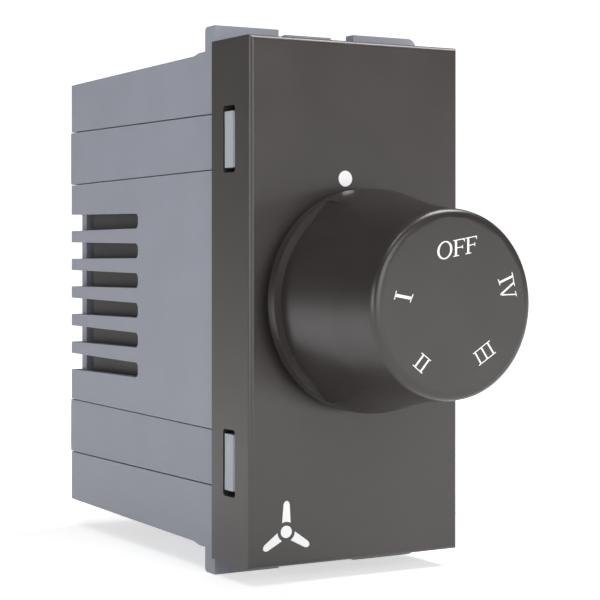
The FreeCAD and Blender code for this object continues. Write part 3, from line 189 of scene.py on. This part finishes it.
def clip_plastic():
    """The housing's grey, with painted light on the clip tabs in the plate's windows: they are
    painted paler than the rest.
    """
    tab_back = -1.0
    blend = 0.2
    mat = moulded("carrier_plastic", GREY, 0.5, depth=0.006, spread=0.015, specular=0.4)
    tree = mat.node_tree
    base_colour = tree.nodes["Principled BSDF"].inputs["Base Color"]
    depth = split_point(tree, object_point(tree))["Y"]
    # painted highlight: in front of tab_back the tabs are painted paler, standing in for the
    # light that falls on them
    painted_tab_light = tree.nodes.new("ShaderNodeMix")
    painted_tab_light.data_type = "RGBA"
    painted_tab_light.inputs["B"].default_value = linear((174, 179, 186))
    tree.links.new(map_range(tree, depth, (tab_back - blend) * MM, (tab_back + blend) * MM,
                             1.0, 0.0), painted_tab_light.inputs["Factor"])
    tree.links.new(base_colour.links[0].from_socket, painted_tab_light.inputs["A"])
    tree.links.new(painted_tab_light.outputs["Result"], base_colour)
    return mat


PLATE = (57, 53, 51)
KNOB = (45, 40, 39)
GREY = (151, 154, 165)

plate_mat = moulded("plate_plastic", PLATE, 0.34, depth=0.006, specular=0.5)
knob_mat = moulded("knob_plastic", KNOB, 0.3, grain=0.12, depth=0.002, specular=0.52)
housing_mat = moulded("housing_plastic", GREY, 0.5, depth=0.006, spread=0.015, specular=0.5)
carrier_mat = clip_plastic()
case_mat = moulded("case_phenolic", (48, 44, 42), 0.42, depth=0.006)
rotor_mat = moulded("rotor_acetal", (216, 212, 200), 0.4, depth=0.003)
capacitor_mat = moulded("capacitor_case", (58, 56, 54), 0.45, depth=0.004, specular=0.3)
board_mat = moulded("board_laminate", (176, 138, 84), 0.5, grain=0.5, spread=0.08, cloud=2.5)
wafer_mat = moulded("wafer_laminate", (150, 104, 62), 0.5, grain=0.4, spread=0.08, cloud=2.0)
resistor_mat = moulded("resistor_coat", (92, 118, 110), 0.4, depth=0.01)
steel_mat = metal("zinc_steel", (186, 188, 190), 0.32)
brass_mat = metal("brass_strip", (196, 164, 96), 0.3)
ink_mat = moulded("white_ink", (255, 255, 255), 0.4, grain=0.08, depth=0.002, spread=0.005)

# every node that isn't named here is steel
finishes = {
    "front_plate": plate_mat,
    "knob": knob_mat,
    "housing": housing_mat,
    "carrier": carrier_mat,
    "switch_case": case_mat,
    "rotor": rotor_mat,
    "capacitor_upper": capacitor_mat,
    "capacitor_lower": capacitor_mat,
    "circuit_board": board_mat,
    "contact_wafer": wafer_mat,
    "resistors": resistor_mat,
    "bush": brass_mat,
    "fixed_contacts": brass_mat,
    "common_ring": brass_mat,
    "wiper": brass_mat,
    "terminal_line": brass_mat,
    "terminal_load": brass_mat,
}
for name, item in nodes.items():
    item.data.materials.clear()
    item.data.materials.append(finishes.get(name, steel_mat))


# Shading of the knob

# The knob's turned profile is a row of short cones: shaded as one curve up to this angle.
KNOB_CREASE = math.radians(48.0)

turned = nodes["knob"]
for face in turned.data.polygons:
    face.use_smooth = True
weld = turned.modifiers.new("weld", "WELD")
weld.merge_threshold = 0.001 * MM
split = turned.modifiers.new("split", "EDGE_SPLIT")
split.use_edge_sharp = False
split.split_angle = KNOB_CREASE
even = turned.modifiers.new("even", "WEIGHTED_NORMAL")
even.weight = 80
even.keep_sharp = False


# Printed marks, in mm on faces that look along -Y: (x, z) seen from the front

def low_corner(name, axis):
    """Lowest coordinate of a node along an axis, in mm."""
    item = nodes[name]
    return min((item.matrix_world @ vertex.co)[axis] for vertex in item.data.vertices) / MM


KNOB_FACE = low_corner("knob", 1)
PLATE_FACE = low_corner("front_plate", 1)
PLATE_LEFT = low_corner("front_plate", 0)
PLATE_BOTTOM = low_corner("front_plate", 2)
INK = 0.02
ROUND_STEPS = 64


def print_piece(name, loops, face, body):
    """Thin ink layer on a face. Each loop is a closed list of (x, z).

    A loop may be a pair (outer, inner) with as many points in each, for a ring.
    """
    mesh = bmesh.new()

    def line_at(points, depth):
        return [mesh.verts.new((x * MM, depth * MM, z * MM)) for x, z in points]

    for loop in loops:
        if isinstance(loop, tuple):
            outer, outer_back = [line_at(loop[0], depth) for depth in (face - INK, face)]
            inner, inner_back = [line_at(loop[1], depth) for depth in (face - INK, face)]
            for i in range(len(outer)):
                j = (i + 1) % len(outer)
                mesh.faces.new((outer[i], outer[j], inner[j], inner[i]))
                mesh.faces.new((outer_back[j], outer_back[i], inner_back[i], inner_back[j]))
                mesh.faces.new((outer[j], outer[i], outer_back[i], outer_back[j]))
                mesh.faces.new((inner[i], inner[j], inner_back[j], inner_back[i]))
        else:
            front, back = [line_at(loop, depth) for depth in (face - INK, face)]
            mesh.faces.new(front)
            mesh.faces.new(list(reversed(back)))
            for i in range(len(front)):
                j = (i + 1) % len(front)
                mesh.faces.new((front[j], front[i], back[i], back[j]))
    bmesh.ops.recalc_face_normals(mesh, faces=mesh.faces)
    data = bpy.data.meshes.new(name)
    mesh.to_mesh(data)
    mesh.free()
    data.materials.append(ink_mat)
    item = bpy.data.objects.new(name, data)
    scene.collection.objects.link(item)
    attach(item, body)


def plate_mark(name, loops):
    print_piece(name, loops, PLATE_FACE, "module")


def knob_mark(name, loops):
    print_piece(name, loops, KNOB_FACE, "knob_shaft")


def ellipse(centre, half_width, half_height):
    turns = [2 * math.pi * i / ROUND_STEPS for i in range(ROUND_STEPS)]
    return [(centre[0] + half_width * math.cos(t), centre[1] + half_height * math.sin(t))
            for t in turns]


def lay(points, origin, across, up):
    """Local (u, v) points laid out on two direction vectors from an origin."""
    return [(origin[0] + u * across[0] + v * up[0], origin[1] + u * across[1] + v * up[1])
            for u, v in points]


def stroke(start, end, width):
    """Straight stroke between two points, square ends."""
    a, b = Vector(start), Vector(end)
    along = (b - a).normalized()
    half = Vector((-along.y, along.x)) * width / 2
    return [tuple(a - half), tuple(b - half), tuple(b + half), tuple(a + half)]


def between(a, b, share):
    return (a[0] + (b[0] - a[0]) * share, a[1] + (b[1] - a[1]) * share)


# Dot that the knob's marks line up with
plate_mark("index_dot", [ellipse((-1.385, 11.73), 0.76, 0.76)])

# Fan symbol: hub and three blades
HUB = (PLATE_LEFT + 3.90, PLATE_BOTTOM + 3.30)
BLADE_ROOT = 0.95
BLADE_ROOT_ANGLE = 29.0
BLADE_END = 2.42
BLADE_HALF_WIDTH = 0.345
BLADE_TIP = 0.50
root = [math.radians(BLADE_ROOT_ANGLE * (i / 5 - 1)) for i in range(11)]
tip = [math.pi * i / 20 for i in range(21)]
blade = [(BLADE_ROOT * math.cos(a), BLADE_ROOT * math.sin(a)) for a in root]
blade += [(BLADE_END + BLADE_TIP * math.sin(a), BLADE_HALF_WIDTH * math.cos(a)) for a in tip]
symbol = [ellipse(HUB, 0.6, 0.58)]
for turn in (89.0, -31.0, 212.0):
    c, s = math.cos(math.radians(turn)), math.sin(math.radians(turn))
    symbol.append(lay(blade, HUB, (c, s), (-s, c)))
plate_mark("fan_symbol", symbol)

# OFF, sheared as it stands on the face: an O ring and two letters F of unit height
CAP_HEIGHT = 1.47
O_CENTRE = (0.81, 0.76)
F_LEFTS = (1.72, 3.06)
OFF_LINE = {"origin": (-1.90, 3.968), "across": (1.0, 0.17), "up": (0.0, 1.0)}
letter_f = [
    (0, 0), (0.44, 0), (0.44, 0.04), (0.32, 0.05), (0.28, 0.09), (0.28, 0.475), (0.60, 0.475),
    (0.655, 0.45), (0.685, 0.40), (0.72, 0.40), (0.72, 0.61), (0.685, 0.61), (0.655, 0.55),
    (0.60, 0.53), (0.28, 0.53), (0.28, 0.945), (0.70, 0.945), (0.765, 0.92), (0.805, 0.87),
    (0.825, 0.79), (0.86, 0.79), (0.85, 1.0), (0, 1.0), (0, 0.96), (0.09, 0.945),
    (0.13, 0.90), (0.13, 0.10), (0.09, 0.055), (0, 0.04),
]
off = [(lay(ellipse(O_CENTRE, 0.81, 0.80), **OFF_LINE),
        lay(ellipse(O_CENTRE, 0.585, 0.70), **OFF_LINE))]
for left in F_LEFTS:
    letter = [(left + u * CAP_HEIGHT, v * CAP_HEIGHT) for u, v in letter_f]
    off.append(lay(letter, **OFF_LINE))
knob_mark("mark_off", off)

# Numerals: stems and the thin serifs across their ends
SERIF = 0.08

# I
knob_mark("mark_1", [
    stroke((-4.645, 0.645), (-6.345, 0.955), 0.27),
    stroke((-6.24, 1.33), (-6.45, 0.58), SERIF),
    stroke((-4.49, 1.00), (-4.80, 0.29), SERIF),
])

# II
TWO_STEM = 0.17
knob_mark("mark_2", [
    stroke((-3.58, -4.16), (-2.59, -4.89), SERIF),
    stroke((-4.52, -5.17), (-3.53, -5.96), SERIF),
    stroke((-3.39, -4.37), (-4.24, -5.30), TWO_STEM),
    stroke((-2.82, -4.82), (-3.68, -5.78), TWO_STEM),
])

# III, with its middle stem halfway between the outer two
THREE_STEM = 0.16
first_stem = ((2.24, -4.35), (2.88, -5.32))
last_stem = ((3.58, -3.47), (4.26, -4.41))
three = [stroke(between(first_stem[0], last_stem[0], share),
                between(first_stem[1], last_stem[1], share), THREE_STEM)
         for share in (0.0, 0.5, 1.0)]
knob_mark("mark_3", three + [
    stroke((1.99, -4.43), (3.84, -3.28), SERIF),
    stroke((2.66, -5.47), (4.53, -4.33), SERIF),
])

# IV, whose V has a thick and a thin stroke from one point
V_POINT = (5.05, 0.81)
knob_mark("mark_4", [
    stroke((4.93, 1.93), (6.41, 2.50), 0.2),
    stroke((4.79, 2.22), (5.00, 1.69), SERIF),
    stroke((6.34, 2.86), (6.52, 2.25), SERIF),
    stroke(V_POINT, (6.57, 1.93), 0.17),
    stroke(V_POINT, (6.85, 0.85), 0.1),
    stroke((6.47, 2.27), (6.66, 1.62), SERIF),
    stroke((6.73, 1.14), (6.88, 0.68), SERIF),
])


# Floor, in metres: flat, then turned up into a low wall all round

FLOOR_Z = cad_box[0][2] - 0.01 * MM
FLAT_RADIUS = 2.5
BEND_RADIUS = 0.5
BEND_STEPS = 12
WALL_HEIGHT = 0.66
FLOOR_SIDES = 96


def turned_mesh(name, profile, sides):
    """Mesh turned about Z: profile is a list of (radius, height) from the centre outwards."""
    mesh = bmesh.new()
    centre = mesh.verts.new((0.0, 0.0, profile[0][1]))
    turns = [2 * math.pi * i / sides for i in range(sides)]
    rings = []
    for radius, height in profile[1:]:
        rings.append([mesh.verts.new((radius * math.cos(t), radius * math.sin(t), height))
                      for t in turns])
    for i in range(sides):
        j = (i + 1) % sides
        mesh.faces.new((centre, rings[0][i], rings[0][j]))
        for low, high in zip(rings[:-1], rings[1:]):
            mesh.faces.new((low[i], high[i], high[j], low[j]))
    for face in mesh.faces:
        face.smooth = True
    data = bpy.data.meshes.new(name)
    mesh.to_mesh(data)
    mesh.free()
    return data


profile = [(radius, FLOOR_Z) for radius in (0.0, 0.3, 1.2, FLAT_RADIUS)]
for step in range(1, BEND_STEPS + 1):
    angle = math.radians(90 * step / BEND_STEPS)
    profile.append((FLAT_RADIUS + BEND_RADIUS * math.sin(angle),
                    FLOOR_Z + BEND_RADIUS * (1.0 - math.cos(angle))))
profile.append((FLAT_RADIUS + BEND_RADIUS, FLOOR_Z + WALL_HEIGHT))
floor_data = turned_mesh("floor", profile, FLOOR_SIDES)
floor = bpy.data.objects.new("floor", floor_data)
scene.collection.objects.link(floor)


def floor_material():
    """White floor that keeps the object's shadow, and glows where the lamps don't reach.

    The glow is seen by camera and transmission rays at full level. Mirrored in the object, it
    is dimmer behind the object and up the wall.
    """
    near, near_glow, far = 0.12, 0.6, 0.7
    wall_top, wall_glow = 0.3, 0.2
    rear, rear_glow = 0.5, 0.4
    mat, tree, shader = new_material("studio_floor")
    shader.inputs["Roughness"].default_value = 0.9
    shader.inputs["Specular IOR Level"].default_value = 0.1
    point = object_point(tree)
    mottle = noise(tree, point, 12.0, 2.0)
    tree.links.new(colour_ramp(tree, mottle["Fac"], (238, 238, 238), (244, 244, 244)),
                   shader.inputs["Base Color"])

    axes = split_point(tree, point)
    mirrored = maths(tree, "MULTIPLY", map_range(tree, axes["Y"], 0.0, rear, 1.0, rear_glow),
                     map_range(tree, axes["Z"], 0.0, wall_top, 1.0, wall_glow))
    rays = tree.nodes.new("ShaderNodeLightPath").outputs
    mirrored = maths(tree, "MULTIPLY", rays["Is Glossy Ray"], mirrored)
    seen = maths(tree, "MAXIMUM", rays["Is Camera Ray"], mirrored)
    seen = maths(tree, "MAXIMUM", seen, rays["Is Transmission Ray"])

    reach = tree.nodes.new("ShaderNodeVectorMath")
    reach.operation = "LENGTH"
    tree.links.new(point, reach.inputs[0])
    level = map_range(tree, reach.outputs["Value"], near, far, near_glow, 1.0)
    glow = add_node(tree, "ShaderNodeEmission", {"Color": (1.0, 1.0, 1.0, 1.0)})
    tree.links.new(maths(tree, "MULTIPLY", seen, level), glow.inputs["Strength"])
    both = tree.nodes.new("ShaderNodeAddShader")
    tree.links.new(shader.outputs["BSDF"], both.inputs[0])
    tree.links.new(glow.outputs["Emission"], both.inputs[1])
    tree.links.new(both.outputs["Shader"], tree.nodes["Material Output"].inputs["Surface"])
    return mat


floor_data.materials.append(floor_material())


# World

world = bpy.data.worlds.new("studio")
scene.world = world
world.use_nodes = True
sky = world.node_tree.nodes["Background"]
sky.inputs["Color"].default_value = (1.0, 1.0, 1.0, 1.0)
sky.inputs["Strength"].default_value = 0.18


# Lamps

def lamp(name, place, aim, width, height, power):
    """Soft box: sizes and places in mm, power in watts."""
    data = bpy.data.lights.new(name, "AREA")
    data.shape = "RECTANGLE"
    data.size = width * MM
    data.size_y = height * MM
    data.energy = power
    item = bpy.data.objects.new(name, data)
    item.location = Vector(place) * MM
    item.rotation_mode = "QUATERNION"
    item.rotation_quaternion = (Vector(aim) - Vector(place)).to_track_quat("-Z", "Y")
    scene.collection.objects.link(item)


lamp("front_box", (-40, -450, 110), (0, 0, 0), 250, 250, 0.78)
lamp("left_box", (-420, -60, 20), (0, 0, 0), 250, 180, 0.58)
lamp("overhead_box", (200, -60, 420), (0, -10, 0), 250, 250, 2.4)
lamp("upper_left_box", (-170, -170, 390), (0, -15, 0), 160, 160, 0.42)
lamp("low_strip", (240, -400, -12), (0, 0, -20), 200, 24, 0.06)


# Camera

camera_data = bpy.data.cameras.new("camera")
camera_data.sensor_width = 36.0
camera_data.lens = 106.18
camera_data.shift_y = -0.0886
camera_data.clip_start = 0.005
camera_data.clip_end = 10.0
camera = bpy.data.objects.new("camera", camera_data)
camera.location = Vector((-92.04, -152.38, 5.16)) * MM
camera.rotation_mode = "QUATERNION"
camera.rotation_quaternion = Vector((0.50985, 0.86028, 0.0)).to_track_quat("-Z", "Y")
scene.collection.objects.link(camera)
scene.camera = camera
